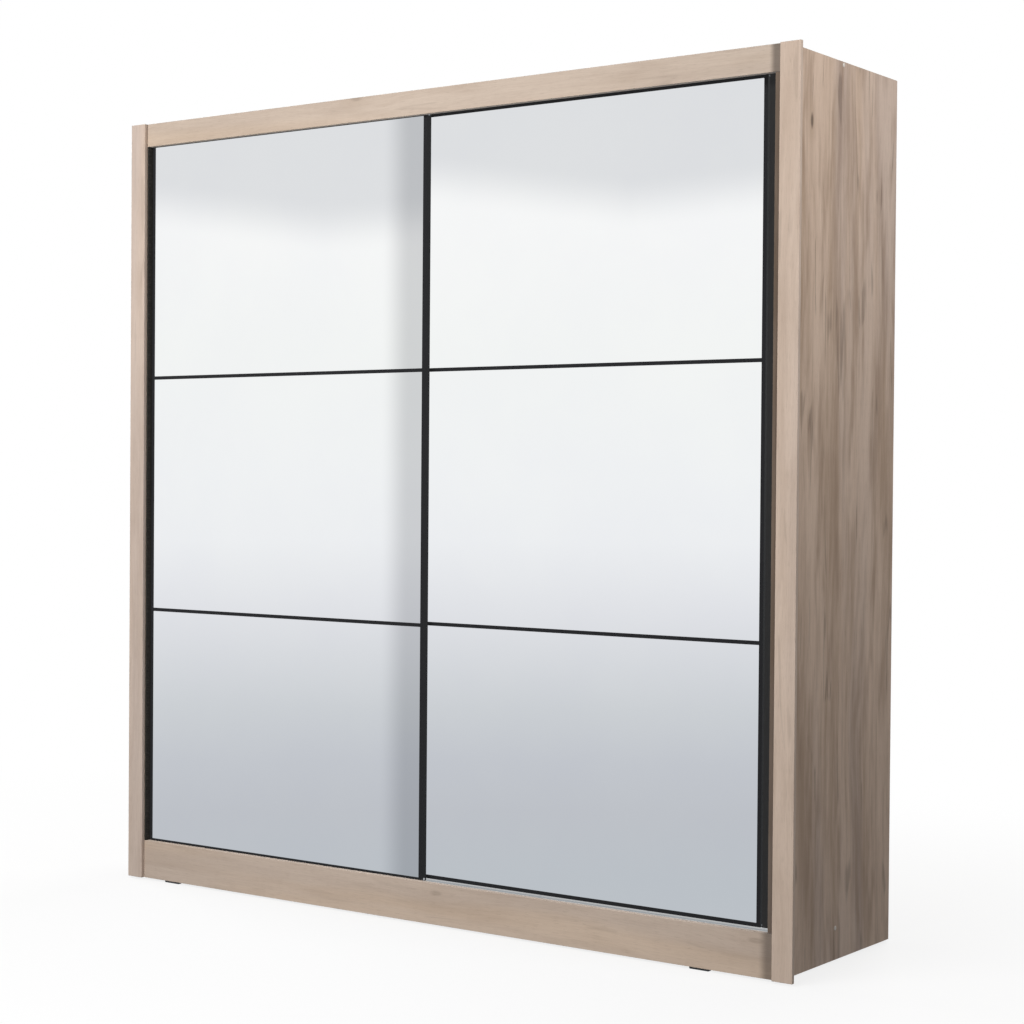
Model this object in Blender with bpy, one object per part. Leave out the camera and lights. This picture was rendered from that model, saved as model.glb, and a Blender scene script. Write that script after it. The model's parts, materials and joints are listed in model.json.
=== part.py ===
"""Two-door sliding wardrobe: oak-coloured boards, slim black door frames and mirror panes.

Frame: metres, +Z up, +X to the wardrobe's right, the doors face -Y. The origin is on the floor
under the middle of the whole wardrobe. Depths are counted back from the pilasters' front faces.
"""

import math

import bmesh
import bpy
from mathutils import Matrix, Vector

# Whole wardrobe
WIDTH = 2.150            # over the two pilasters
BODY_HEIGHT = 2.150      # without the glides
DEPTH = 0.580
GLIDE_HEIGHT = 0.005
GAP = 0.0003             # play between pieces that touch

# Boards
BOARD = 0.016
EDGE_RADIUS = 0.0008
PILASTER_WIDTH = 0.054
PILASTER_THICKNESS = 0.010
PILASTER_OVERHANG = 0.038
FASCIA_HEIGHT = 0.064
PLINTH_HEIGHT = 0.106
BOTTOM_PANEL_LOW = 0.069
HARDBOARD = 0.003
PLINTH_REAR_SETBACK = 0.030

# Doors: a front door on the left and a rear door on the right
STILE_WIDTH = 0.0105
RAIL_HEIGHT = 0.0095
FRAME_DEPTH = 0.019
WALL = 0.0015
LIGHT_HEIGHT = 0.6515
PANES = 3
MIRROR = 0.004
BACKING = 0.006
STILE_BITE = 0.006       # how far a pane sits in a stile or rail
BAR_BITE = 0.0035        # how far a pane sits in a bar
FRONT_DOOR_LEFT = -1.018
FRONT_DOOR_WIDTH = 0.9935
REAR_DOOR_LEFT = -0.0565
REAR_DOOR_WIDTH = 1.0105 # wider, so that its left stile hides behind the front door
FRONT_DOOR_FACE = 0.0285
DOOR_PITCH = 0.038
DOOR_LOW = 0.102
REAR_DOOR_LIFT = 0.002   # the rear door's rollers are set a little higher

# Running gear
WHEEL_RADIUS = 0.012
WHEEL_FLANGE = 0.002
WHEEL_WIDTH = 0.008
WHEEL_BACK = 0.027       # wheel's mid-plane behind its door's front face
AXLE_RADIUS = 0.002
RIVET_HEAD = 0.0005
ROLLER_INSET = 0.090
HOUSING_HALF = 0.031
CHEEK = 0.0015
DECK_TOP = 0.100
RIDGE_TOP = 0.104
RIDGE_HALF = 0.0012
TRACK_FRONT = 0.027
TRACK_BACK = 0.1005
CHANNEL_HALF = 0.0095
FLANGE_LOW = 2.099
GUIDE_HALF = 0.007
GUIDE_HEIGHT = 0.028

# Fillers: a strip and a post close the rear door's end, and a seal the front door's
STRIP_THICKNESS = 0.0165
POST_LEFT = 0.958
SEAL_WIDTH = 0.005
SEAL_DEPTH = 0.0165

# Interior
INTERIOR_FRONT = 0.104
SHELF_FRONT = 0.112
LEFT_SHELF_LOW = 1.760
RIGHT_SHELF_LOWS = (0.590, 1.110, 1.630)
RAIL_RADIUS = 0.0125
RAIL_HEIGHT_ABOVE_FLOOR = 1.690
RAIL_BACK = 0.340

SIDE_OUTER = WIDTH / 2 - PILASTER_OVERHANG
SIDE_INNER = SIDE_OUTER - BOARD
BACK_FRONT = DEPTH - HARDBOARD
CARCASS_BACK = BACK_FRONT - GAP
FASCIA_FACE = PILASTER_THICKNESS + GAP
FASCIA_BACK = FASCIA_FACE + BOARD
BOTTOM_TOP = BOTTOM_PANEL_LOW + BOARD
TOP_LOW = BODY_HEIGHT - BOARD
FASCIA_LOW = BODY_HEIGHT - FASCIA_HEIGHT
DOOR_HEIGHT = PANES * LIGHT_HEIGHT + (PANES - 1) * RAIL_HEIGHT + 2 * RAIL_HEIGHT
BACKING_FRONT = WALL + MIRROR + 2 * GAP
GROOVE_BACK = BACKING_FRONT + BACKING + GAP
REAR_DOOR_FACE = FRONT_DOOR_FACE + DOOR_PITCH
AXLE_HEIGHT = RIDGE_TOP + WHEEL_RADIUS + GAP
POST_FRONT = REAR_DOOR_FACE


def clear_scene():
    for obj in list(bpy.data.objects):
        bpy.data.objects.remove(obj, do_unlink=True)


def make_material(name, color, roughness, metallic=0.0):
    material = bpy.data.materials.new(name)
    material.use_nodes = True
    shader = material.node_tree.nodes["Principled BSDF"]
    shader.inputs["Base Color"].default_value = (*color, 1.0)
    shader.inputs["Roughness"].default_value = roughness
    shader.inputs["Metallic"].default_value = metallic
    return material


def place(x, back, up):
    """World position of a point given by its depth and its height above the glides."""
    return Vector((x, back - DEPTH / 2, up + GLIDE_HEIGHT))


def finish(name, bm, material, parent=None, smooth=False):
    bmesh.ops.recalc_face_normals(bm, faces=bm.faces)
    mesh = bpy.data.meshes.new(name)
    bm.to_mesh(mesh)
    bm.free()
    if smooth:
        mesh.shade_smooth()
        mesh.set_sharp_from_angle(angle=math.radians(35))
    obj = bpy.data.objects.new(name, mesh)
    bpy.context.scene.collection.objects.link(obj)
    own = material.copy()
    own.name = name + "_finish"
    obj.data.materials.append(own)
    obj.parent = parent
    return obj


def add_box(bm, low, high):
    low, high = Vector(low), Vector(high)
    size = high - low
    matrix = Matrix.Translation((low + high) / 2) @ Matrix.Diagonal((*size, 1.0))
    bmesh.ops.create_cube(bm, size=1.0, matrix=matrix)


def add_cylinder(bm, centre, axis, radius, length, segments=16):
    turn = Vector((0, 0, 1)).rotation_difference(Vector(axis)).to_matrix().to_4x4()
    bmesh.ops.create_cone(
        bm, cap_ends=True, segments=segments, radius1=radius, radius2=radius,
        depth=length, matrix=Matrix.Translation(centre) @ turn)


def add_prism(bm, outline, origin, u, v, along):
    """Extrude a flat outline, given in the directions u and v, by the vector along."""
    origin, u, v = Vector(origin), Vector(u), Vector(v)
    face = bm.faces.new([bm.verts.new(origin + a * u + b * v) for a, b in outline])
    made = bmesh.ops.extrude_face_region(bm, geom=[face])
    moved = [item for item in made["geom"] if isinstance(item, bmesh.types.BMVert)]
    bmesh.ops.translate(bm, verts=moved, vec=Vector(along))


def add_turned(bm, outline, centre, axis, segments):
    """Spin a closed (radius, along) outline about an axis through centre."""
    axis = Vector(axis)
    side = axis.orthogonal().normalized()
    centre = Vector(centre)
    ring = [bm.verts.new(centre + r * side + a * axis) for r, a in outline]
    edges = [bm.edges.new((ring[i], ring[(i + 1) % len(ring)])) for i in range(len(ring))]
    bmesh.ops.spin(
        bm, geom=ring + edges, cent=centre, axis=axis, dvec=(0, 0, 0),
        angle=2 * math.pi, steps=segments, use_merge=False)
    bmesh.ops.remove_doubles(bm, verts=bm.verts, dist=0.00005)


def board(name, low, high, material, edge=EDGE_RADIUS):
    """A board between two corners, each (x, depth, height), with softly rounded edges."""
    bm = bmesh.new()
    add_box(bm, place(*low), place(*high))
    obj = finish(name, bm, material)
    bevel = obj.modifiers.new("edges", "BEVEL")
    bevel.width = edge
    bevel.segments = 2
    bevel.limit_method = "NONE"
    return obj


def build_carcass(oak):
    for side, sign in (("left", -1), ("right", 1)):
        inner, outer = sorted((sign * SIDE_INNER, sign * SIDE_OUTER))
        board("side_panel_" + side, (inner, FASCIA_FACE, 0), (outer, CARCASS_BACK, BODY_HEIGHT), oak)
        near, far = sorted((sign * (WIDTH / 2 - PILASTER_WIDTH), sign * WIDTH / 2))
        board("pilaster_" + side, (near, 0, 0), (far, PILASTER_THICKNESS, BODY_HEIGHT), oak, 0.0012)
    reach = SIDE_INNER - GAP
    behind = FASCIA_BACK + GAP
    board("top_panel", (-reach, behind, TOP_LOW), (reach, CARCASS_BACK, BODY_HEIGHT), oak)
    board("bottom_panel", (-reach, behind, BOTTOM_PANEL_LOW), (reach, CARCASS_BACK, BOTTOM_TOP), oak)
    board("top_fascia", (-reach, FASCIA_FACE, FASCIA_LOW), (reach, FASCIA_BACK, BODY_HEIGHT), oak)
    board("plinth_front", (-reach, FASCIA_FACE, 0), (reach, FASCIA_BACK, PLINTH_HEIGHT), oak)
    rear = CARCASS_BACK - PLINTH_REAR_SETBACK
    under = BOTTOM_PANEL_LOW - GAP
    board("plinth_rear", (-reach, rear - BOARD, 0), (reach, rear, under), oak)
    board("centre_partition", (-BOARD / 2, INTERIOR_FRONT, BOTTOM_TOP + GAP),
          (BOARD / 2, CARCASS_BACK, TOP_LOW - GAP), oak)


def build_back(hardboard):
    margin = 0.004
    outer, middle = SIDE_OUTER - margin, 0.001
    low, high = margin, BODY_HEIGHT - margin
    board("back_panel_left", (-outer, BACK_FRONT, low), (-middle, DEPTH, high), hardboard, 0.0003)
    board("back_panel_right", (middle, BACK_FRONT, low), (outer, DEPTH, high), hardboard, 0.0003)


def build_fillers(oak, black_board, brush):
    """Strip and post that close the right end, and a dust seal at the left end."""
    right = SIDE_INNER - GAP
    low, high = PLINTH_HEIGHT + GAP, FASCIA_LOW - GAP
    board("filler_strip", (right - STRIP_THICKNESS, FASCIA_FACE, low),
          (right, POST_FRONT - GAP, high), oak)
    board("filler_post", (POST_LEFT, POST_FRONT, RIDGE_TOP + GAP),
          (right, POST_FRONT + BOARD, FLANGE_LOW - GAP), black_board)
    board("dust_seal", (-right, FASCIA_FACE, low),
          (-right + SEAL_WIDTH, FASCIA_FACE + SEAL_DEPTH, high), brush, 0.0005)


def build_tracks(aluminium):
    reach = SIDE_INNER - 2 * GAP
    along = (2 * reach, 0, 0)
    back_dir, up = (0, 1, 0), (0, 0, 1)

    # Bottom track: a raised deck on legs, with one running ridge for each door
    base, deck_low = BOTTOM_TOP + GAP, DECK_TOP - WALL
    wheel_lines = [face + WHEEL_BACK for face in (FRONT_DOOR_FACE, REAR_DOOR_FACE)]
    top_line = [(TRACK_FRONT, base), (TRACK_FRONT, DECK_TOP)]
    for line in wheel_lines:
        top_line += [(line - RIDGE_HALF, DECK_TOP), (line - RIDGE_HALF, RIDGE_TOP - 0.0006),
                     (line - RIDGE_HALF / 2, RIDGE_TOP), (line + RIDGE_HALF / 2, RIDGE_TOP),
                     (line + RIDGE_HALF, RIDGE_TOP - 0.0006), (line + RIDGE_HALF, DECK_TOP)]
    top_line += [(TRACK_BACK, DECK_TOP), (TRACK_BACK, base)]
    leg_starts = [TRACK_BACK - WALL, wheel_lines[1] - WALL / 2, wheel_lines[0] - WALL / 2, TRACK_FRONT]
    under_line = []
    for leg in leg_starts:
        under_line += [(leg + WALL, deck_low), (leg + WALL, base), (leg, base), (leg, deck_low)]
    outline = top_line + under_line[2:-2]
    bm = bmesh.new()
    add_prism(bm, outline, place(-reach, 0, 0), back_dir, up, along)
    finish("bottom_track", bm, aluminium)

    # Top track: two channels under one web
    web_high, web_low = TOP_LOW - GAP, TOP_LOW - GAP - WALL
    middles = [face + FRAME_DEPTH / 2 for face in (FRONT_DOOR_FACE, REAR_DOOR_FACE)]
    flanges = [middle + side * CHANNEL_HALF for middle in middles for side in (-1, 1)]
    outline = [(flanges[0] - WALL, web_high), (flanges[0] - WALL, FLANGE_LOW)]
    outline += [(flanges[0], FLANGE_LOW), (flanges[0], web_low)]
    for flange in (flanges[1], flanges[2] - WALL):
        outline += [(flange, web_low), (flange, FLANGE_LOW)]
        outline += [(flange + WALL, FLANGE_LOW), (flange + WALL, web_low)]
    outline += [(flanges[3], web_low), (flanges[3], FLANGE_LOW)]
    outline += [(flanges[3] + WALL, FLANGE_LOW), (flanges[3] + WALL, web_high)]
    bm = bmesh.new()
    add_prism(bm, outline, place(-reach, 0, 0), back_dir, up, along)
    finish("top_track", bm, aluminium)


def fin_outline(width):
    """Frame section: an outer wall with a front lip, a fin behind the pane and a back fin."""
    fins = ((0, WALL), (GROOVE_BACK, GROOVE_BACK + WALL), (FRAME_DEPTH - WALL, FRAME_DEPTH))
    points = [(0, FRAME_DEPTH), (0, 0)]
    for front, back in fins:
        points += [(width, front), (width, back)]
        if back < FRAME_DEPTH:
            points += [(WALL, back), (WALL, fins[fins.index((front, back)) + 1][0])]
    return points


def build_door(name, left, width, face, lift, metal, glass, backing, plastic):
    """One door in its own frame: x from its middle, y back from its face, z up from its low edge."""
    origin = bpy.data.objects.new(name + "_origin", None)
    bpy.context.scene.collection.objects.link(origin)
    half = width / 2
    origin.location = place(left + half, face, DOOR_LOW + lift)

    for side, sign in (("left", -1), ("right", 1)):
        bm = bmesh.new()
        add_prism(bm, fin_outline(STILE_WIDTH), (sign * half, 0, 0), (-sign, 0, 0), (0, 1, 0),
                  (0, 0, DOOR_HEIGHT))
        finish(name + "_stile_" + side, bm, metal, origin)

    reach = half - STILE_WIDTH - GAP
    for place_name, height, direction in (("bottom", 0, 1), ("top", DOOR_HEIGHT, -1)):
        bm = bmesh.new()
        add_prism(bm, fin_outline(RAIL_HEIGHT), (-reach, 0, height), (0, 0, direction), (0, 1, 0),
                  (2 * reach, 0, 0))
        finish(name + "_" + place_name + "_rail", bm, metal, origin)

    # The bars are T strips: a lip over two panes and a web between them
    web, middle = WALL / 2, RAIL_HEIGHT / 2
    bar_outline = [(0, 0), (RAIL_HEIGHT, 0), (RAIL_HEIGHT, WALL), (middle + web, WALL),
                   (middle + web, BACKING_FRONT - GAP), (middle - web, BACKING_FRONT - GAP),
                   (middle - web, WALL), (0, WALL)]
    step = LIGHT_HEIGHT + RAIL_HEIGHT
    for index, bar in enumerate(("lower", "upper")):
        bm = bmesh.new()
        add_prism(bm, bar_outline, (-reach, 0, (index + 1) * step), (0, 0, 1), (0, 1, 0),
                  (2 * reach, 0, 0))
        finish(name + "_bar_" + bar, bm, metal, origin)

    pane_half = half - STILE_WIDTH + STILE_BITE
    mirror_front = WALL + GAP
    for index, pane in enumerate(("lower", "middle", "upper")):
        light_low = RAIL_HEIGHT + index * step
        low = light_low - (STILE_BITE if index == 0 else BAR_BITE)
        high = light_low + LIGHT_HEIGHT + (STILE_BITE if index == PANES - 1 else BAR_BITE)
        bm = bmesh.new()
        add_box(bm, (-pane_half, mirror_front, low), (pane_half, mirror_front + MIRROR, high))
        finish(name + "_mirror_" + pane, bm, glass, origin)
    bite = RAIL_HEIGHT - STILE_BITE
    bm = bmesh.new()
    add_box(bm, (-pane_half, BACKING_FRONT, bite),
            (pane_half, BACKING_FRONT + BACKING, DOOR_HEIGHT - bite))
    finish(name + "_backing_board", bm, backing, origin)

    build_top_guides(name, origin, half - ROLLER_INSET, plastic)
    return origin


def build_top_guides(name, origin, offset, plastic):
    middle = FRAME_DEPTH / 2
    foot, foot_half, fin_half, slope = 0.002, 0.030, 0.020, 0.005
    base = DOOR_HEIGHT + GAP
    outline = [(-foot_half, 0), (foot_half, 0), (foot_half, foot), (fin_half, foot),
               (fin_half, GUIDE_HEIGHT - slope), (fin_half - slope, GUIDE_HEIGHT),
               (slope - fin_half, GUIDE_HEIGHT), (-fin_half, GUIDE_HEIGHT - slope),
               (-fin_half, foot), (-foot_half, foot)]
    for side, sign in (("left", -1), ("right", 1)):
        bm = bmesh.new()
        start = (sign * offset, middle - GUIDE_HALF, base)
        add_prism(bm, outline, start, (1, 0, 0), (0, 0, 1), (0, 2 * GUIDE_HALF, 0))
        finish(name + "_top_guide_" + side, bm, plastic, origin)


def build_running_gear(name, origin, offset, lift, steel, nylon):
    """Two roller housings on the door's back, and a grooved wheel on a riveted pin in each."""
    axle = AXLE_HEIGHT - DOOR_LOW - lift
    plate_front = GROOVE_BACK + GAP
    plate_back = plate_front + 0.002
    near = WHEEL_BACK - WHEEL_WIDTH / 2 - GAP - CHEEK
    far = WHEEL_BACK + WHEEL_WIDTH / 2 + GAP
    bridge_low = axle + WHEEL_RADIUS + WHEEL_FLANGE + 0.001
    bridge_high = bridge_low + CHEEK
    cheek_low = axle - 0.007
    section = [(plate_front, bridge_low), (near, bridge_low), (near, cheek_low),
               (near + CHEEK, cheek_low), (near + CHEEK, bridge_low), (far, bridge_low),
               (far, cheek_low), (far + CHEEK, cheek_low), (far + CHEEK, bridge_high),
               (plate_back, bridge_high), (plate_back, bridge_high + 0.030),
               (plate_front, bridge_high + 0.030)]
    rim, flange, bore = WHEEL_RADIUS, WHEEL_RADIUS + WHEEL_FLANGE, AXLE_RADIUS + 0.0001
    w, groove = WHEEL_WIDTH / 2, RIDGE_HALF + 0.0004
    wheel_section = [(bore, -w), (flange, -w), (flange, -w + 0.001), (rim, -groove),
                     (rim, groove), (flange, w - 0.001), (flange, w), (bore, w)]
    for side, sign in (("left", -1), ("right", 1)):
        x = sign * offset
        bm = bmesh.new()
        add_cylinder(bm, (x, WHEEL_BACK, axle), (0, 1, 0), AXLE_RADIUS,
                     far - near + CHEEK + 2 * RIVET_HEAD, 20)
        pin = finish(name + "_pin_blank_" + side, bm, steel, origin)
        pin.hide_render = True
        pin.display_type = "WIRE"
        bm = bmesh.new()
        add_prism(bm, section, (x - HOUSING_HALF, 0, 0), (0, 1, 0), (0, 0, 1),
                  (2 * HOUSING_HALF, 0, 0))
        housing = finish(name + "_roller_housing_" + side, bm, steel, origin)
        union = housing.modifiers.new("riveted pin", "BOOLEAN")
        union.operation = "UNION"
        union.solver = "EXACT"
        union.object = pin

        # The wheel turns about the pin, so its origin is on the pin's axis
        bm = bmesh.new()
        add_turned(bm, wheel_section, (0, 0, 0), (0, 1, 0), 28)
        wheel = finish(name + "_wheel_" + side, bm, nylon, origin, smooth=True)
        wheel.location = (x, WHEEL_BACK, axle)


def build_interior(oak, chrome, plastic):
    left, right = -SIDE_INNER + GAP, SIDE_INNER - GAP
    mid = BOARD / 2 + GAP
    back = CARCASS_BACK - GAP
    shelves = [("shelf_left", left, -mid, LEFT_SHELF_LOW)]
    for name, low in zip(("lower", "middle", "upper"), RIGHT_SHELF_LOWS):
        shelves.append(("shelf_right_" + name, mid, right, low))
    for name, x0, x1, low in shelves:
        board(name, (x0, SHELF_FRONT, low), (x1, back, low + BOARD), oak)

    # The rail's ends sit in a cup socket on the side panel and one on the partition
    socket_length, socket_base = 0.014, 0.002
    length = (-mid - left) - 2 * (socket_base + GAP)
    bm = bmesh.new()
    add_cylinder(bm, place((left - mid) / 2, RAIL_BACK, RAIL_HEIGHT_ABOVE_FLOOR), (1, 0, 0),
                 RAIL_RADIUS, length, 32)
    finish("hanging_rail", bm, chrome, smooth=True)
    bore, wall, flange, hole = RAIL_RADIUS + GAP, 0.002, 0.021, 0.003
    outline = [(hole, 0), (flange, 0), (flange, socket_base), (bore + wall, socket_base),
               (bore + wall, socket_length), (bore, socket_length), (bore, socket_base),
               (hole, socket_base)]
    for side, x, axis in (("left", left, (1, 0, 0)), ("right", -mid, (-1, 0, 0))):
        bm = bmesh.new()
        add_turned(bm, outline, place(x, RAIL_BACK, RAIL_HEIGHT_ABOVE_FLOOR), axis, 32)
        finish("rail_socket_" + side, bm, plastic, smooth=True)


def build_glides(plastic):
    """Glides under the two plinths, with a small slope round the foot of each."""
    half = Vector((0.0265, 0.006, 0))
    slope = 0.001
    rear = CARCASS_BACK - PLINTH_REAR_SETBACK - BOARD / 2
    front = FASCIA_FACE + BOARD / 2
    spots = (("front_left", -0.912, front), ("front_right", 0.821, front),
             ("rear_left", -0.870, rear), ("rear_right", 0.870, rear))
    for name, x, back in spots:
        bm = bmesh.new()
        rings = []
        for inset, up in ((slope, -GLIDE_HEIGHT), (0, slope - GLIDE_HEIGHT), (0, -GAP)):
            reach = half - Vector((inset, inset, 0))
            rings.append([bm.verts.new(place(x, back, up) + Vector((a * reach.x, b * reach.y, 0)))
                          for a, b in ((-1, -1), (1, -1), (1, 1), (-1, 1))])
        bm.faces.new(rings[0][::-1])
        bm.faces.new(rings[-1])
        for lower, upper in zip(rings, rings[1:]):
            for i in range(4):
                j = (i + 1) % 4
                bm.faces.new((lower[i], lower[j], upper[j], upper[i]))
        finish("glide_" + name, bm, plastic)


def main():
    clear_scene()
    oak = make_material("oak_melamine", (0.60, 0.51, 0.43), 0.55)
    hardboard = make_material("hardboard", (0.62, 0.57, 0.50), 0.65)
    black = make_material("black_aluminium", (0.02, 0.02, 0.022), 0.42, 0.6)
    mirror = make_material("mirror", (0.92, 0.93, 0.94), 0.02, 1.0)
    grey_board = make_material("grey_board", (0.30, 0.30, 0.31), 0.6)
    aluminium = make_material("aluminium", (0.70, 0.71, 0.72), 0.35, 1.0)
    steel = make_material("zinc_steel", (0.62, 0.63, 0.64), 0.4, 1.0)
    chrome = make_material("chrome", (0.80, 0.80, 0.81), 0.12, 1.0)
    nylon = make_material("grey_nylon", (0.45, 0.45, 0.44), 0.5)
    dark_plastic = make_material("black_plastic", (0.03, 0.03, 0.03), 0.5)
    black_board = make_material("black_board", (0.03, 0.03, 0.03), 0.55)
    brush = make_material("black_brush", (0.015, 0.015, 0.015), 0.95)

    build_carcass(oak)
    build_back(hardboard)
    build_fillers(oak, black_board, brush)
    build_tracks(aluminium)
    build_interior(oak, chrome, dark_plastic)
    build_glides(dark_plastic)
    doors = (("front_door", FRONT_DOOR_LEFT, FRONT_DOOR_WIDTH, FRONT_DOOR_FACE, 0.0),
             ("rear_door", REAR_DOOR_LEFT, REAR_DOOR_WIDTH, REAR_DOOR_FACE, REAR_DOOR_LIFT))
    for name, left, width, face, lift in doors:
        origin = build_door(name, left, width, face, lift, black, mirror, grey_board, dark_plastic)
        build_running_gear(name, origin, width / 2 - ROLLER_INSET, lift, steel, nylon)


main()
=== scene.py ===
"""Looks of the two-door sliding mirror wardrobe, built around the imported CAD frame."""

import json
import math

import bmesh
import bpy
from mathutils import Matrix, Vector


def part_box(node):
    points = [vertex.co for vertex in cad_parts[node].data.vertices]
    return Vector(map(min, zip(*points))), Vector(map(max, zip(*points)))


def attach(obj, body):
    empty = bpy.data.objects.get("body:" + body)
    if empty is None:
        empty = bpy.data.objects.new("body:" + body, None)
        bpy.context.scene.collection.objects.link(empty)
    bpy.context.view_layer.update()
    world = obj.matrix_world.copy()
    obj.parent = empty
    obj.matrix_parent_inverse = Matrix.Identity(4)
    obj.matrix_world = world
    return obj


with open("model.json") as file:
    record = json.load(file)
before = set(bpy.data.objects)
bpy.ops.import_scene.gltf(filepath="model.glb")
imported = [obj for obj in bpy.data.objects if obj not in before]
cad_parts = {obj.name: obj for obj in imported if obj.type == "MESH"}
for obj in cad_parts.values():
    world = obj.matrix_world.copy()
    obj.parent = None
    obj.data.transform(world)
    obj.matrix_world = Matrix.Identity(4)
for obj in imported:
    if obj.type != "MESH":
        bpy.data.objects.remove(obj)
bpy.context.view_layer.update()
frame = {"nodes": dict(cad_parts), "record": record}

# Places that the CAD fixes, in metres
DEPTH = 0.580
GLIDE = 0.005
SIDE_OUTER, SIDE_INNER = 1.037, 1.021
PARTITION_HALF = 0.008
SHELF_LOWS_LEFT = (1.760,)
SHELF_LOWS_RIGHT = (0.590, 1.110, 1.630)
SHELF_PIN_BACKS = (0.162, 0.520)
DECK_TOP = 0.100

# Nails round the back panels
NAIL_INNER, NAIL_LOW = 0.008, 0.017
NAIL_SPAN_X, NAIL_SPAN_Z = 1.019, 2.126
NAIL_COUNT_X, NAIL_COUNT_Z = 8, 15
NAIL_BORDER = 0.02
NAIL_RIM, NAIL_FLAT = 0.0042, 0.0034


def srgb(r, g, b):
    """A linear colour from 8-bit display values."""
    def one(v):
        v /= 255
        return v / 12.92 if v <= 0.04045 else ((v + 0.055) / 1.055) ** 2.4
    return (one(r), one(g), one(b), 1.0)


# Node helpers

def add_node(tree, kind, inputs=None, **settings):
    """A shader node whose inputs are given by name or index, as values or as sockets to link."""
    made = tree.nodes.new("ShaderNode" + kind)
    for key, value in settings.items():
        setattr(made, key, value)
    for key, value in (inputs or {}).items():
        socket = made.inputs[key]
        if isinstance(value, bpy.types.NodeSocket):
            tree.links.new(value, socket)
        else:
            socket.default_value = value
    return made


def math_node(tree, operation, *values):
    return add_node(tree, "Math", dict(enumerate(values)), operation=operation).outputs[0]


def hypotenuse(tree, a, b):
    squares = math_node(tree, "ADD", math_node(tree, "MULTIPLY", a, a),
                        math_node(tree, "MULTIPLY", b, b))
    return math_node(tree, "SQRT", squares)


def smooth_step(tree, value, low, high, out_low=0.0, out_high=1.0):
    made = add_node(
        tree, "MapRange",
        {"Value": value, "From Min": low, "From Max": high, "To Min": out_low, "To Max": out_high},
        interpolation_type="SMOOTHSTEP")
    return made.outputs["Result"]


def mix_color(tree, factor, a, b, blend="MIX"):
    made = add_node(tree, "Mix", {0: factor, 6: a, 7: b}, data_type="RGBA", blend_type=blend)
    return made.outputs[2]


def noise(tree, vector, scale, detail, rough, dims="3D"):
    made = add_node(
        tree, "TexNoise",
        {"Vector": vector, "Scale": scale, "Detail": detail, "Roughness": rough},
        noise_dimensions=dims)
    return made.outputs["Fac"]


def scaled(tree, vector, scale, offset=(0, 0, 0)):
    made = add_node(tree, "Mapping", {"Vector": vector, "Location": offset, "Scale": scale})
    return made.outputs["Vector"]


def ramp(tree, value, stops):
    """A linear colour ramp; each stop is (position, colour)."""
    made = add_node(tree, "ValToRGB", {"Fac": value})
    made.color_ramp.interpolation = "LINEAR"
    elements = made.color_ramp.elements
    while len(elements) < len(stops):
        elements.new(0.5)
    for element, (position, color) in zip(elements, stops):
        element.position = position
        element.color = color
    return made.outputs["Color"]


def new_material(name):
    made = bpy.data.materials.new(name)
    made.use_nodes = True
    tree = made.node_tree
    shader = tree.nodes["Principled BSDF"]
    coords = add_node(tree, "TexCoord").outputs["Object"]
    return made, tree, shader, coords


def bump(tree, shader, height, strength, distance):
    made = add_node(tree, "Bump", {"Height": height, "Strength": strength, "Distance": distance})
    tree.links.new(made.outputs["Normal"], shader.inputs["Normal"])


# Oak decor

OAK_WARM = srgb(207, 187, 171)
OAK_GREY = srgb(202, 185, 173)
OAK_BROWN = srgb(163, 141, 122)
OAK_UMBER = srgb(158, 139, 127)
OAK_STAIN = srgb(140, 117, 99)
OAK_PORE = srgb(120, 102, 86)
OAK_CHECK = srgb(78, 64, 52)
# Colour of the painted shadow beside the right pilaster
SHADE_COLOR = srgb(34, 28, 24)

# Noises of the print: scale (across, along, 1), offset, detail and roughness
PRINT_NOISES = {
    "wave": ((1.8, 1.1, 1), (0, 0, 0), 2.0, 0.5),
    "broad": ((11, 1.2, 1), (0, 0, 0), 5.0, 0.6),
    "streak": ((70, 3.4, 1), (3.1, 7.7, 0), 6.0, 0.66),
    "fibre": ((330, 7.5, 1), (0, 0, 0), 4.0, 0.6),
    "pore": ((950, 34, 1), (0, 0, 0), 2.0, 0.5),
    "hue": ((5.5, 0.35, 1), (11.3, 2.9, 0), 3.0, 0.5),
    "stain": ((24, 3.6, 1), (8.3, 6.1, 0), 2.6, 0.55),
    "check": ((24, 1.5, 1), (5.9, 1.3, 0), 1.5, 0.5),
    "patch": ((15, 4.2, 1), (1.7, 4.1, 0), 1.0, 0.5),
}
KNOT_CELLS = (3.4, 1.15, 1)
KNOT_PULL, WAVE_PULL = 0.014, 0.035
BROAD_SHARE, STREAK_SHARE = 0.76, 0.34
STAIN_AMOUNT, FIBRE_AMOUNT, PORE_AMOUNT = 0.55, 0.13, 0.22
CHECK_AMOUNT, HALO_AMOUNT, HEART_AMOUNT = 0.38, 0.50, 0.80
SEED_STEP_ACROSS, SEED_STEP_ALONG = 1.37, 2.91


def print_noise(group, name, vector):
    scale, offset, detail, rough = PRINT_NOISES[name]
    return noise(group, scaled(group, vector, scale, offset), 1.0, detail, rough, "2D")


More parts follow.
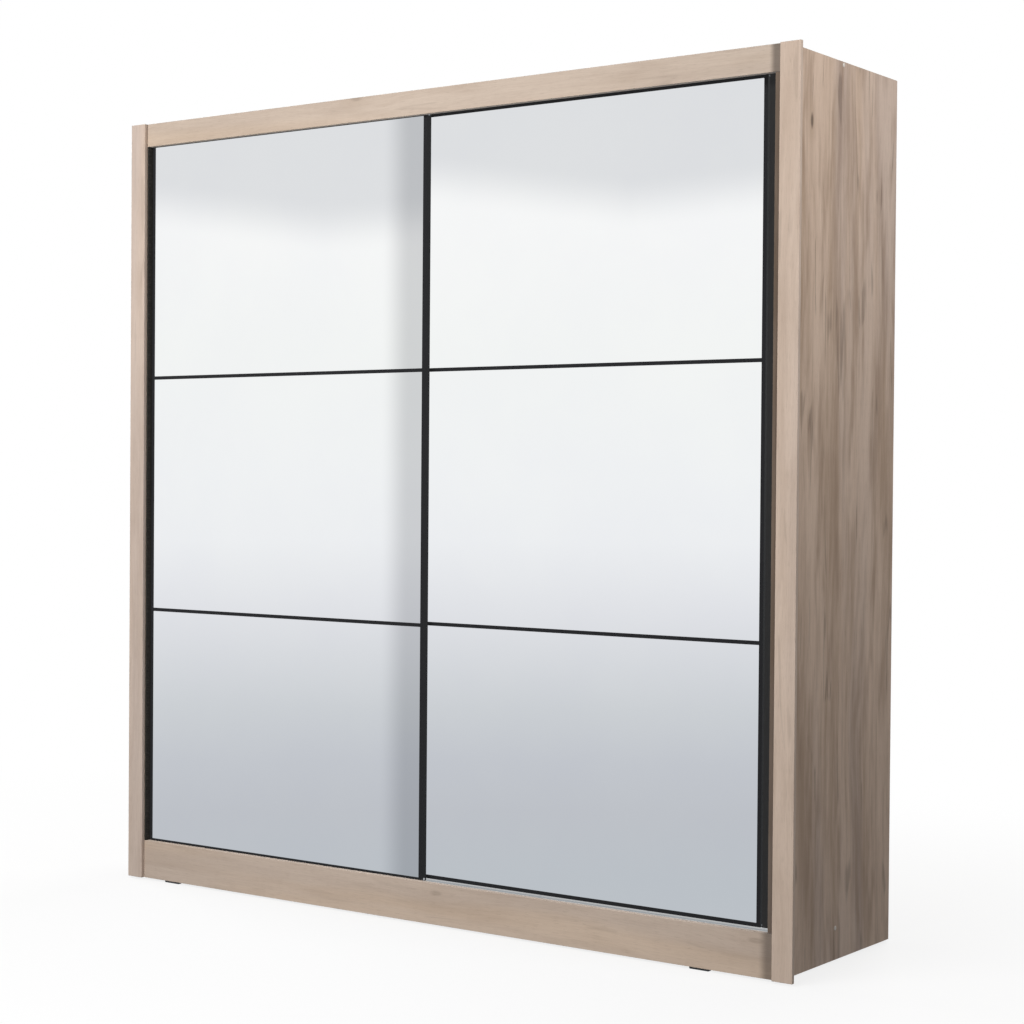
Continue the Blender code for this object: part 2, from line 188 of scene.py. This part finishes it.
def make_oak_group():
    """The printed oak: figure, fibres, pores, checks and knots.

    Vector is (across, along, 0) in metres.
    """
    group = bpy.data.node_groups.new("oak_print", "ShaderNodeTree")
    face = group.interface
    face.new_socket("Vector", in_out="INPUT", socket_type="NodeSocketVector")
    face.new_socket("Contrast", in_out="INPUT", socket_type="NodeSocketFloat")
    for name, kind in (("Color", "Color"), ("Height", "Float"), ("Roughness", "Float")):
        face.new_socket(name, in_out="OUTPUT", socket_type="NodeSocket" + kind)
    entry = group.nodes.new("NodeGroupInput")
    vector, contrast = entry.outputs["Vector"], entry.outputs["Contrast"]

    # Knots pull the grain aside
    cells = add_node(
        group, "TexVoronoi", {"Vector": scaled(group, vector, KNOT_CELLS), "Scale": 1.0},
        voronoi_dimensions="2D")
    lot = add_node(group, "SeparateColor", {0: cells.outputs["Color"]}).outputs[0]
    wanted = smooth_step(group, lot, 0.42, 0.46)
    near = cells.outputs["Distance"]
    pull = math_node(group, "MULTIPLY", smooth_step(group, near, 0.30, 0.0), KNOT_PULL)
    shift = math_node(group, "MULTIPLY_ADD", print_noise(group, "wave", vector), WAVE_PULL, pull)
    warped = add_node(group, "VectorMath",
                      {0: vector, 1: add_node(group, "CombineXYZ", {0: shift}).outputs[0]},
                      operation="ADD").outputs[0]

    broad, streak, fibre, pore, hue = (
        print_noise(group, name, warped) for name in ("broad", "streak", "fibre", "pore", "hue"))

    # Figure: two tones of board, each from warm to grey
    grey = smooth_step(group, hue, 0.40, 0.62)
    light = mix_color(group, grey, OAK_WARM, OAK_GREY)
    deep = mix_color(group, grey, OAK_BROWN, OAK_UMBER)
    figure = math_node(group, "MULTIPLY_ADD", streak, STREAK_SHARE,
                       math_node(group, "MULTIPLY", broad, BROAD_SHARE))
    amount = smooth_step(group, figure, 0.40, 0.76)
    amount = math_node(group, "MULTIPLY", amount, contrast)
    color = mix_color(group, amount, light, deep)

    # Short stained patches along the grain
    stain = smooth_step(group, print_noise(group, "stain", warped), 0.48, 0.78)
    stain = math_node(group, "MULTIPLY", stain, contrast)
    color = mix_color(group, math_node(group, "MULTIPLY", stain, STAIN_AMOUNT), color, OAK_STAIN)

    # Fibres and pores
    fine = smooth_step(group, fibre, 0.35, 0.68, 0.0, FIBRE_AMOUNT)
    color = mix_color(group, fine, color, deep)
    pits = smooth_step(group, pore, 0.60, 0.72)
    pits = math_node(group, "MULTIPLY", pits, PORE_AMOUNT)
    color = mix_color(group, pits, color, OAK_PORE)

    # Long dark checks: thin contour lines of a stretched noise, kept in patches
    field = print_noise(group, "check", warped)
    line = math_node(group, "ABSOLUTE", math_node(group, "SUBTRACT", field, 0.5))
    line = smooth_step(group, line, 0.045, 0.006)
    patch = print_noise(group, "patch", vector)
    line = math_node(group, "MULTIPLY", line, smooth_step(group, patch, 0.58, 0.66))
    line = math_node(group, "MULTIPLY", line, math_node(group, "MULTIPLY", contrast, CHECK_AMOUNT))
    color = mix_color(group, line, color, OAK_CHECK)

    # Knots: a dark heart in a brown halo
    halo = math_node(group, "MULTIPLY", smooth_step(group, near, 0.105, 0.02), wanted)
    halo = math_node(group, "MULTIPLY", halo, math_node(group, "MULTIPLY", contrast, HALO_AMOUNT))
    color = mix_color(group, halo, color, OAK_BROWN)
    ragged = math_node(group, "MULTIPLY_ADD", streak, 0.030, near)
    heart = math_node(group, "MULTIPLY", smooth_step(group, ragged, 0.046, 0.026), wanted)
    heart = math_node(group, "MULTIPLY", heart, math_node(group, "MULTIPLY", contrast, HEART_AMOUNT))
    color = mix_color(group, heart, color, OAK_CHECK)

    height = math_node(group, "SUBTRACT", math_node(group, "MULTIPLY", fibre, 0.6), pits)
    height = math_node(group, "SUBTRACT", height, line)
    rough = math_node(group, "MULTIPLY_ADD", fibre, 0.16, 0.44)
    leave = group.nodes.new("NodeGroupOutput")
    for name, socket in (("Color", color), ("Height", height), ("Roughness", rough)):
        group.links.new(socket, leave.inputs[name])
    return group


def oak(name, group, along, seed, contrast, tint, shade):
    """Oak board material. The grain runs along one axis, and the seed moves the print.

    tint multiplies the colour; on the filler strip it is painted shade. shade is (low, high,
    amount): painted shade, the board darkens from low to high along X. Either can be None.
    """
    made, tree, shader, coords = new_material(name)
    x, y, z = add_node(tree, "SeparateXYZ", {0: coords}).outputs
    axes = {"X": (y, z, x), "Y": (x, z, y), "Z": (x, y, z)}
    first, second, run = axes[along]
    across = math_node(tree, "ADD", first, second)
    plane = add_node(tree, "CombineXYZ", {0: across, 1: run}).outputs[0]
    plane = scaled(tree, plane, (1, 1, 1), (seed * SEED_STEP_ACROSS, seed * SEED_STEP_ALONG, 0))
    print_node = tree.nodes.new("ShaderNodeGroup")
    print_node.node_tree = group
    print_node.inputs["Contrast"].default_value = contrast
    tree.links.new(plane, print_node.inputs["Vector"])
    color = print_node.outputs["Color"]
    if tint:
        color = mix_color(tree, 1.0, color, tint, "MULTIPLY")
    if shade:
        # painted shade: the board darkens towards SHADE_COLOR from low to high along X
        low, high, amount = shade
        color = mix_color(tree, smooth_step(tree, x, low, high, 0.0, amount), color, SHADE_COLOR)
    tree.links.new(color, shader.inputs["Base Color"])
    tree.links.new(print_node.outputs["Roughness"], shader.inputs["Roughness"])
    shader.inputs["Specular IOR Level"].default_value = 0.35
    bump(tree, shader, print_node.outputs["Height"], 0.25, 0.0004)
    return made


# Other finishes

def grained(name, dark, light, scale, rough, metallic=0.0, detail=4.0, height=(0.1, 0.0003),
            specular=0.5):
    """A finish with a two-tone mottle or brushing, given by the scale along each axis.

    rough is (low, high), and height is the bump's (strength, distance).
    """
    made, tree, shader, coords = new_material(name)
    grain = noise(tree, scaled(tree, coords, scale), 1.0, detail, 0.6)
    color = mix_color(tree, smooth_step(tree, grain, 0.35, 0.65), dark, light)
    tree.links.new(color, shader.inputs["Base Color"])
    spread = smooth_step(tree, grain, 0.3, 0.7, rough[0], rough[1])
    tree.links.new(spread, shader.inputs["Roughness"])
    shader.inputs["Metallic"].default_value = metallic
    shader.inputs["Specular IOR Level"].default_value = specular
    bump(tree, shader, grain, *height)
    return made


def mirror_glass():
    """Silvered glass: an even mirror with the faintest haze."""
    made, tree, shader, coords = new_material("mirror_glass")
    haze = noise(tree, coords, 3.0, 5.0, 0.6)
    color = mix_color(tree, smooth_step(tree, haze, 0.3, 0.7), srgb(247, 248, 249), srgb(249, 250, 250))
    tree.links.new(color, shader.inputs["Base Color"])
    tree.links.new(smooth_step(tree, haze, 0.45, 0.75, 0.004, 0.012), shader.inputs["Roughness"])
    shader.inputs["Metallic"].default_value = 1.0
    return made


def nailed_hardboard():
    """Pressed fibre board with flush nail heads on a grid, kept only round each panel's edge."""
    made, tree, shader, coords = new_material("nailed_hardboard")
    fibre = noise(tree, coords, 420.0, 5.0, 0.65)
    cloud = noise(tree, scaled(tree, coords, (5, 5, 5), (2.0, 4.0, 1.0)), 1.0, 3.0, 0.5)
    color = mix_color(tree, smooth_step(tree, fibre, 0.32, 0.68),
                      srgb(196, 185, 170), srgb(212, 203, 189))
    color = mix_color(tree, smooth_step(tree, cloud, 0.35, 0.70, 0.0, 0.22),
                      color, srgb(184, 170, 152))
    x, y, z = add_node(tree, "SeparateXYZ", {0: coords}).outputs
    across = math_node(tree, "SUBTRACT", math_node(tree, "ABSOLUTE", x), NAIL_INNER)
    up = math_node(tree, "SUBTRACT", z, NAIL_LOW)
    off_x = math_node(tree, "PINGPONG", across, NAIL_SPAN_X / NAIL_COUNT_X / 2)
    off_z = math_node(tree, "PINGPONG", up, NAIL_SPAN_Z / NAIL_COUNT_Z / 2)
    radius = hypotenuse(tree, off_x, off_z)
    from_middle_x = math_node(tree, "ABSOLUTE", math_node(tree, "SUBTRACT", across, NAIL_SPAN_X / 2))
    from_middle_z = math_node(tree, "ABSOLUTE", math_node(tree, "SUBTRACT", up, NAIL_SPAN_Z / 2))
    border = math_node(tree, "MAXIMUM",
                       math_node(tree, "GREATER_THAN", from_middle_x, NAIL_SPAN_X / 2 - NAIL_BORDER),
                       math_node(tree, "GREATER_THAN", from_middle_z, NAIL_SPAN_Z / 2 - NAIL_BORDER))
    head = math_node(tree, "MULTIPLY", smooth_step(tree, radius, NAIL_RIM, NAIL_FLAT), border)
    color = mix_color(tree, head, color, srgb(150, 150, 150))
    tree.links.new(color, shader.inputs["Base Color"])
    tree.links.new(math_node(tree, "MULTIPLY", head, 0.9), shader.inputs["Metallic"])
    tree.links.new(smooth_step(tree, head, 0.0, 1.0, 0.68, 0.38), shader.inputs["Roughness"])
    shader.inputs["Specular IOR Level"].default_value = 0.3
    bump(tree, shader, math_node(tree, "MULTIPLY_ADD", head, 1.5, fibre), 0.25, 0.0003)
    return made


def brush_pile():
    made, tree, shader, coords = new_material("brush_pile")
    strands = noise(tree, scaled(tree, coords, (900, 60, 2600)), 1.0, 2.0, 0.5)
    color = mix_color(tree, smooth_step(tree, strands, 0.4, 0.65), srgb(34, 32, 30), srgb(74, 71, 66))
    tree.links.new(color, shader.inputs["Base Color"])
    shader.inputs["Roughness"].default_value = 0.95
    shader.inputs["Specular IOR Level"].default_value = 0.15
    bump(tree, shader, strands, 0.6, 0.0006)
    return made


oak_group = make_oak_group()
FINISHES = {
    "black_aluminium": grained(
        "black_aluminium", srgb(24, 24, 26), srgb(34, 34, 36), (1400, 1400, 1400), (0.34, 0.44),
        0.0, 2.0, (0.12, 0.0001), 0.16),
    "aluminium": grained(
        "aluminium", srgb(188, 189, 188), srgb(206, 207, 206), (6, 900, 900), (0.28, 0.42),
        1.0, 4.0, (0.10, 0.0001)),
    "zinc_steel": grained(
        "zinc_steel", srgb(176, 178, 182), srgb(204, 205, 206), (140, 140, 140), (0.28, 0.46), 1.0),
    "chrome": grained(
        "chrome", srgb(206, 208, 211), srgb(220, 221, 223), (4, 200, 200), (0.06, 0.14),
        1.0, 3.0, (0.03, 0.0001)),
    "grey_nylon": grained(
        "grey_nylon", srgb(158, 158, 155), srgb(176, 176, 172), (260, 260, 260), (0.42, 0.55)),
    "black_plastic": grained(
        "black_plastic", srgb(24, 24, 25), srgb(38, 38, 39), (900, 900, 900), (0.45, 0.6),
        0.0, 2.0, (0.25, 0.0002)),
    "grey_board": grained(
        "grey_board", srgb(136, 137, 139), srgb(150, 151, 153), (520, 520, 520), (0.55, 0.66)),
    "black_board": grained(
        "black_board", srgb(22, 21, 21), srgb(33, 32, 31), (700, 700, 40), (0.48, 0.6),
        0.0, 3.0, (0.15, 0.0002), 0.35),
    "hardboard": nailed_hardboard(),
    "black_rubber": grained(
        "black_rubber", srgb(20, 20, 20), srgb(30, 30, 30), (500, 500, 500), (0.7, 0.85),
        0.0, 2.0, (0.2, 0.0002), 0.3),
    "pale_cap": grained(
        "pale_cap", srgb(214, 206, 196), srgb(226, 219, 210), (400, 400, 400), (0.4, 0.5)),
    # painted shade: a near-black finish for the shade inside the shelf pin holes
    "hole_dark": grained(
        "hole_dark", srgb(26, 22, 19), srgb(44, 37, 31), (500, 500, 500), (0.8, 0.9)),
    "mirror": mirror_glass(),
    "black_brush": brush_pile(),
}

SIDE_TINT = (1.07, 1.02, 0.97, 1)
TINTS_AND_PAINTED_SHADE = {
    # painted shade: this dark tint stands in for the right pilaster's shadow on the filler strip
    "filler_strip": (0.28, 0.26, 0.24, 1),
    "side_panel_left": SIDE_TINT,
    "side_panel_right": SIDE_TINT,
    "top_fascia": (0.93, 0.93, 0.89, 1),
    "plinth_front": (0.98, 0.97, 0.93, 1),
}

# Painted shadow: the soft dark band that the right pilaster casts beside it on the fascia, plinth and
# filler strip; from and to along X, and how dark
SHADED_ENDS = {
    "top_fascia": (0.986, 1.004, 0.64),
    "plinth_front": (0.978, 1.005, 0.58),
    "filler_strip": (1.004, 1.020, 0.25),
}

# Which way each oak board's grain runs, and how strong its figure is
BOARDS = {
    "side_panel_left": ("Z", 1.0), "side_panel_right": ("Z", 1.0),
    "pilaster_left": ("Z", 0.35), "pilaster_right": ("Z", 0.35),
    "top_fascia": ("X", 0.30), "plinth_front": ("X", 0.26), "plinth_rear": ("X", 0.8),
    "top_panel": ("X", 0.9), "bottom_panel": ("X", 0.9), "centre_partition": ("Z", 0.9),
    "filler_strip": ("Z", 0.8), "shelf_left": ("X", 0.8), "shelf_right_lower": ("X", 0.8),
    "shelf_right_middle": ("X", 0.8), "shelf_right_upper": ("X", 0.8),
}
slot_of = {part["node"]: part["material_slot"] for part in frame["record"]["subparts"]}
for node_name, node_object in frame["nodes"].items():
    if node_name in BOARDS:
        along, contrast = BOARDS[node_name]
        seed = 3 + list(BOARDS).index(node_name)
        finish = oak("oak_" + node_name, oak_group, along, seed, contrast,
                     TINTS_AND_PAINTED_SHADE.get(node_name), SHADED_ENDS.get(node_name))
    else:
        finish = FINISHES[slot_of[node_name]]
    node_object.material_slots[0].material = finish
    node_object.visible_glossy = False


# Small pieces that the CAD leaves out

def place(x, back, up):
    return Vector((x, back - DEPTH / 2, up + GLIDE))


def add_turned(bm, outline, centre, axis, segments):
    """A turned shape from (radius, along) points that start and end on the axis."""
    turn = Vector((0, 0, 1)).rotation_difference(Vector(axis)).to_matrix()
    rings = []
    for radius, along in outline:
        count = 1 if radius == 0 else segments
        ring = []
        for i in range(count):
            angle = 2 * math.pi * i / count
            local = Vector((radius * math.cos(angle), radius * math.sin(angle), along))
            ring.append(bm.verts.new(centre + turn @ local))
        rings.append(ring)
    for low, high in zip(rings, rings[1:]):
        for i in range(segments):
            j = (i + 1) % segments
            corners = [low[i % len(low)], low[j % len(low)], high[j % len(high)], high[i % len(high)]]
            bm.faces.new(list(dict.fromkeys(corners)))


def add_piece(name, bm, finish, body):
    bmesh.ops.recalc_face_normals(bm, faces=bm.faces)
    mesh = bpy.data.meshes.new(name)
    bm.to_mesh(mesh)
    bm.free()
    mesh.shade_smooth()
    mesh.set_sharp_from_angle(angle=math.radians(40))
    mesh.materials.append(finish)
    made = bpy.data.objects.new(name, mesh)
    bpy.context.scene.collection.objects.link(made)
    made.visible_glossy = False
    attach(made, body)
    return made


def dome(radius, height, dimple=0.0):
    """Outline of a low domed head, with an optional dimple for the driver."""
    points = [(0, 0), (radius, 0), (radius, height * 0.35), (radius * 0.82, height * 0.85)]
    if dimple:
        floor = height * (1 - dimple)
        points += [(radius * 0.42, height), (radius * 0.34, floor), (0, floor)]
    else:
        points += [(radius * 0.45, height), (0, height)]
    return points


def heads(name, spots, outline, finish, body, segments=16):
    """One piece made of the same turned shape at each (centre, axis)."""
    bm = bmesh.new()
    for centre, axis in spots:
        add_turned(bm, outline, centre, axis, segments)
    return add_piece(name, bm, finish, body)


# Where the small pieces sit, in the part's own depths and heights. LIFT keeps each clear of its face.
LIFT = 0.0002
BOARD = 0.016
CAP_BACK, CAP_UPS = 0.284, (0.077, 2.142)
PIN_DROP = 0.0052
HOLE_PITCH, HOLE_STEPS = 0.032, (-3, -2, -1, 1, 2, 3)
COVER_BACKS, COVER_INSET = (0.150, 0.500), 0.034
COVER_LOW, COVER_HIGH = 0.085, 2.134
TRACK_SCREW_BACK, TRACK_SCREW_FIRST = 0.0745, -0.960
TRACK_SCREW_PITCH, TRACK_SCREW_COUNT = 0.320, 7
BUFFER_UPS = (0.420, 1.780)
BUFFER_BACKS_LEFT = (0.038, 0.076)
BUFFER_BACK_RIGHT, BUFFER_FACE_RIGHT = 0.0745, 0.958
CORNER_SCREW_UPS = (0.1068, 2.0898)
REAR_DOOR_LIFT = 0.002
HOUSING_SCREW_OFFSETS, HOUSING_SCREW_DROP = (-0.021, 0.021), 0.0065

# Outlines of the small pieces, as (radius, height) points
CAP = dome(0.0055, 0.0014)
PIN = [(0, 0), (0.0046, 0), (0.0046, 0.0012), (0.0040, 0.0016), (0.0025, 0.0018), (0.0025, 0.0082),
       (0.0020, 0.0088), (0, 0.0088)]
HOLE = [(0, 0), (0.0030, 0), (0.0029, 0.0001), (0.0025, 0.00012), (0.0023, 0.00006), (0, 0.00006)]
COVER = [(0, 0), (0.0085, 0), (0.0085, 0.0006), (0.0078, 0.0012), (0.0030, 0.0013),
         (0.0026, 0.0009), (0, 0.0009)]
BUFFER = [(0, 0), (0.0060, 0), (0.0060, 0.0012), (0.0046, 0.0019), (0, 0.0020)]
TRACK_SCREW = dome(0.0036, 0.0009, 0.5)
CORNER_SCREW = dome(0.0034, 0.0008, 0.5)
HOUSING_SCREW = dome(0.0030, 0.0010, 0.5)

caps = [(place(sign * (SIDE_OUTER + LIFT), CAP_BACK, up), (sign, 0, 0))
        for sign in (-1, 1) for up in CAP_UPS]
heads("panel_screw_caps", caps, CAP, FINISHES["pale_cap"], "carcass")

# The rows of holes start over above each shelf, one board higher
pins, holes = [], []
for wall, facing, lows in ((-SIDE_INNER, 1, SHELF_LOWS_LEFT), (-PARTITION_HALF, -1, SHELF_LOWS_LEFT),
                           (PARTITION_HALF, 1, SHELF_LOWS_RIGHT), (SIDE_INNER, -1, SHELF_LOWS_RIGHT)):
    face = wall + facing * LIFT
    for low in lows:
        for back in SHELF_PIN_BACKS:
            pins.append((place(face, back, low - PIN_DROP), (facing, 0, 0)))
            for step in HOLE_STEPS:
                up = low - PIN_DROP + HOLE_PITCH * step + (BOARD if step > 0 else 0)
                holes.append((place(face, back, up), (facing, 0, 0)))
heads("shelf_pins", pins, PIN, FINISHES["zinc_steel"], "carcass")
# painted shade: flat dark discs stand for the shade inside the shelf pin holes
heads("shelf_pin_holes", holes, HOLE, FINISHES["hole_dark"], "carcass", 12)

covers = []
for sign in (-1, 1):
    for back in COVER_BACKS:
        for wall in (SIDE_INNER - COVER_INSET, PARTITION_HALF + COVER_INSET):
            covers.append((place(sign * wall, back, COVER_LOW + LIFT), (0, 0, 1)))
            covers.append((place(sign * wall, back, COVER_HIGH - LIFT), (0, 0, -1)))
heads("cam_fitting_covers", covers, COVER, FINISHES["pale_cap"], "carcass")

track_screws = [
    (place(TRACK_SCREW_FIRST + TRACK_SCREW_PITCH * i, TRACK_SCREW_BACK, DECK_TOP + LIFT), (0, 0, 1))
    for i in range(TRACK_SCREW_COUNT)]
heads("track_screws", track_screws, TRACK_SCREW, FINISHES["zinc_steel"], "carcass")

buffers = []
for up in BUFFER_UPS:
    buffers.append((place(BUFFER_FACE_RIGHT - LIFT, BUFFER_BACK_RIGHT, up), (-1, 0, 0)))
    for back in BUFFER_BACKS_LEFT:
        buffers.append((place(-SIDE_INNER + LIFT, back, up), (1, 0, 0)))
heads("door_buffers", buffers, BUFFER, FINISHES["black_rubber"], "carcass")

for door, lift in (("front_door", 0.0), ("rear_door", REAR_DOOR_LIFT)):
    corner_screws, adjusters = [], []
    for side, sign in (("left", -1), ("right", 1)):
        low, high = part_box(f"{door}_stile_{side}")
        edge = low[0] if sign < 0 else high[0]
        middle = (low[1] + high[1]) / 2
        for up in CORNER_SCREW_UPS:
            spot = Vector((edge + sign * LIFT, middle, up + lift + GLIDE))
            corner_screws.append((spot, (sign, 0, 0)))
        low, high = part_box(f"{door}_roller_housing_{side}")
        for offset in HOUSING_SCREW_OFFSETS:
            spot = Vector(((low[0] + high[0]) / 2 + offset, high[1] + LIFT,
                           high[2] - HOUSING_SCREW_DROP))
            adjusters.append((spot, (0, 1, 0)))
    for name, spots, outline in (("corner_screws", corner_screws, CORNER_SCREW),
                                 ("housing_screws", adjusters, HOUSING_SCREW)):
        heads(f"{door}_{name}", spots, outline, FINISHES["zinc_steel"], door)


# Camera, fitted to the corners of the box

CAMERA_PLACE = (3.3693, -4.5727, 1.1562)
CAMERA_TURN = (0.6254152, 0.0160550, 0.0076194)  # yaw, pitch and roll in radians
FOCAL_LENGTH, FRAME_WIDTH, SENSOR_WIDTH = 2118.27, 1024, 36  # the first two in frame units


def make_camera():
    yaw, pitch, roll = CAMERA_TURN
    forward = Vector((-math.sin(yaw) * math.cos(pitch), math.cos(yaw) * math.cos(pitch),
                      -math.sin(pitch)))
    level = Vector((math.cos(yaw), math.sin(yaw), 0))
    upright = level.cross(forward)
    right = math.cos(roll) * level + math.sin(roll) * upright
    up = math.cos(roll) * upright - math.sin(roll) * level
    data = bpy.data.cameras.new("camera")
    data.sensor_width = SENSOR_WIDTH
    data.lens = FOCAL_LENGTH * SENSOR_WIDTH / FRAME_WIDTH
    made = bpy.data.objects.new("camera", data)
    bpy.context.scene.collection.objects.link(made)
    turn = Matrix((right, up, -forward)).transposed().to_4x4()
    made.matrix_world = Matrix.Translation(CAMERA_PLACE) @ turn
    bpy.context.scene.camera = made


make_camera()


# Stage

FLOOR_RADIUS, FLOOR_SEGMENTS, FLOOR_DROP = 40, 96, 0.0004
GLOW_NEAR, GLOW_FAR = (0.9, 0.80), (3.2, 1.0)  # (distance, share of plain white)

# Plain area lights: name, place, target, size and power in watts
LIGHTS = (
    ("front_bank", (-0.35, -3.9, 3.3), (-0.1, -0.3, 1.4), (4.0, 0.9), 174),
    ("low_fill", (-0.3, -3.6, 0.9), (-0.1, -0.3, 0.3), (1.6, 0.6), 20),
    ("side_lamp", (2.60, -0.15, 2.45), (1.0, 0.0, 1.9), (0.7, 0.7), 18.8),
    ("left_lamp", (-3.10, 0.0, 2.3), (-1.0, 0.0, 1.2), (1.2, 1.2), 38),
    ("back_bank", (0.0, 3.9, 2.6), (0.0, 0.3, 1.2), (1.8, 1.2), 120),
)
AMBIENT = 0.17
MIRROR_GAIN = 1.065

# The studio that the mirrors show, by slope (rise over level distance) and by turn (degrees from
# -Y towards -X)
SLOPE_LOW, SLOPE_HIGH = -0.25, 0.15
TURN_LOW, TURN_HIGH = 25.0, 50.0
BACKDROP = (
    (-0.190, 186, 191, 197), (-0.158, 189, 192, 198), (-0.134, 194, 197, 203),
    (-0.109, 203, 206, 210), (-0.085, 214, 216, 220), (-0.065, 223, 224, 228),
    (-0.050, 229, 230, 233), (-0.030, 236, 237, 239), (0.0, 239, 240, 241),
    (0.060, 242, 243, 242), (0.115, 245, 245, 245),
)
BAND_COLOR = srgb(221, 222, 224)
BAND_EDGE = ((29.4, 0.139), (32.7, 0.1326), (38.10, 0.1435), (38.20, 0.124), (40.95, 0.1195),
             (45.4, 0.1285))
BAND_FADE = (-0.016, 0.010)
EDGE_GAIN = 5.0
UPRIGHT_COLOR = (0.02, 0.03, 0.05, 1)
UPRIGHT_START, UPRIGHT_END = (38.10, 38.20), (39.42, 38.62)
UPRIGHT_AMOUNT = 0.30


def make_floor():
    """A pale floor that turns to plain white away from the wardrobe."""
    bm = bmesh.new()
    bmesh.ops.create_circle(bm, cap_ends=True, radius=FLOOR_RADIUS, segments=FLOOR_SEGMENTS)
    mesh = bpy.data.meshes.new("studio_floor")
    bm.to_mesh(mesh)
    bm.free()
    floor = bpy.data.objects.new("studio_floor", mesh)
    floor.location.z = -FLOOR_DROP
    bpy.context.scene.collection.objects.link(floor)
    made, tree, shader, coords = new_material("studio_floor")
    away = add_node(tree, "VectorMath", {0: coords}, operation="LENGTH").outputs["Value"]
    glow = smooth_step(tree, away, GLOW_NEAR[0], GLOW_FAR[0], GLOW_NEAR[1], GLOW_FAR[1])
    shader.inputs["Base Color"].default_value = (0.82, 0.82, 0.82, 1)
    shader.inputs["Roughness"].default_value = 0.9
    shader.inputs["Specular IOR Level"].default_value = 0.1
    white = add_node(tree, "Emission", {"Color": (1, 1, 1, 1), "Strength": 1.0})
    blend = add_node(tree, "MixShader", {0: glow, 1: shader.outputs[0], 2: white.outputs[0]})
    tree.links.new(blend.outputs[0], tree.nodes["Material Output"].inputs["Surface"])
    mesh.materials.append(made)
    floor.visible_glossy = False
    floor.visible_diffuse = False


def make_area(name, position, target, size, power):
    data = bpy.data.lights.new(name, "AREA")
    data.shape = "RECTANGLE"
    data.size, data.size_y = size
    data.energy = power
    made = bpy.data.objects.new(name, data)
    bpy.context.scene.collection.objects.link(made)
    made.location = position
    made.rotation_mode = "QUATERNION"
    made.rotation_quaternion = (Vector(target) - Vector(position)).to_track_quat("-Z", "Y")
    made.visible_camera = False
    made.visible_glossy = False


def make_world():
    """White behind the object, even light on it, and in its mirrors a soft studio with a grey floor."""
    world = bpy.data.worlds.new("studio")
    world.use_nodes = True
    tree = world.node_tree
    bpy.context.scene.world = world
    direction = add_node(tree, "TexCoord").outputs["Generated"]
    x, y, z = add_node(tree, "SeparateXYZ", {0: direction}).outputs
    slope = math_node(tree, "DIVIDE", z, hypotenuse(tree, x, y))
    turn = math_node(tree, "ARCTAN2", math_node(tree, "MULTIPLY", x, -1.0),
                     math_node(tree, "MULTIPLY", y, -1.0))
    degrees = math_node(tree, "DEGREES", turn)

    # Floor to backdrop
    line = add_node(tree, "MapRange", {"Value": slope, "From Min": SLOPE_LOW, "From Max": SLOPE_HIGH})
    stops = [((at - SLOPE_LOW) / (SLOPE_HIGH - SLOPE_LOW), srgb(r, g, b)) for at, r, g, b in BACKDROP]
    sky = ramp(tree, line.outputs["Result"], stops)

    # The grey band above dips once over each door. Its edge is a ramp too, scaled up to keep precision.
    around = add_node(tree, "MapRange", {"Value": degrees, "From Min": TURN_LOW, "From Max": TURN_HIGH})
    edge_stops = [((at - TURN_LOW) / (TURN_HIGH - TURN_LOW), (edge * EDGE_GAIN,) * 3 + (1,))
                  for at, edge in BAND_EDGE]
    edge = ramp(tree, around.outputs["Result"], edge_stops)
    edge = math_node(tree, "DIVIDE", edge, EDGE_GAIN)
    over = math_node(tree, "SUBTRACT", slope, edge)
    sky = mix_color(tree, smooth_step(tree, over, *BAND_FADE), sky, BAND_COLOR)

    # One soft dark upright
    start = smooth_step(tree, degrees, *UPRIGHT_START)
    end = smooth_step(tree, degrees, *UPRIGHT_END)
    shade = math_node(tree, "MULTIPLY", math_node(tree, "MULTIPLY", end, start), UPRIGHT_AMOUNT)
    sky = mix_color(tree, shade, sky, UPRIGHT_COLOR)

    sky = mix_color(tree, 1.0, sky, (MIRROR_GAIN, MIRROR_GAIN, MIRROR_GAIN, 1), "MULTIPLY")
    path = add_node(tree, "LightPath")
    even = mix_color(tree, path.outputs["Is Glossy Ray"], (AMBIENT, AMBIENT, AMBIENT, 1), sky)
    seen = mix_color(tree, path.outputs["Is Camera Ray"], even, (1, 1, 1, 1))
    background = tree.nodes["Background"]
    tree.links.new(seen, background.inputs["Color"])
    background.inputs["Strength"].default_value = 1.0


make_floor()
make_world()
for light in LIGHTS:
    make_area(*light)
bpy.context.scene.view_settings.view_transform = "Standard"
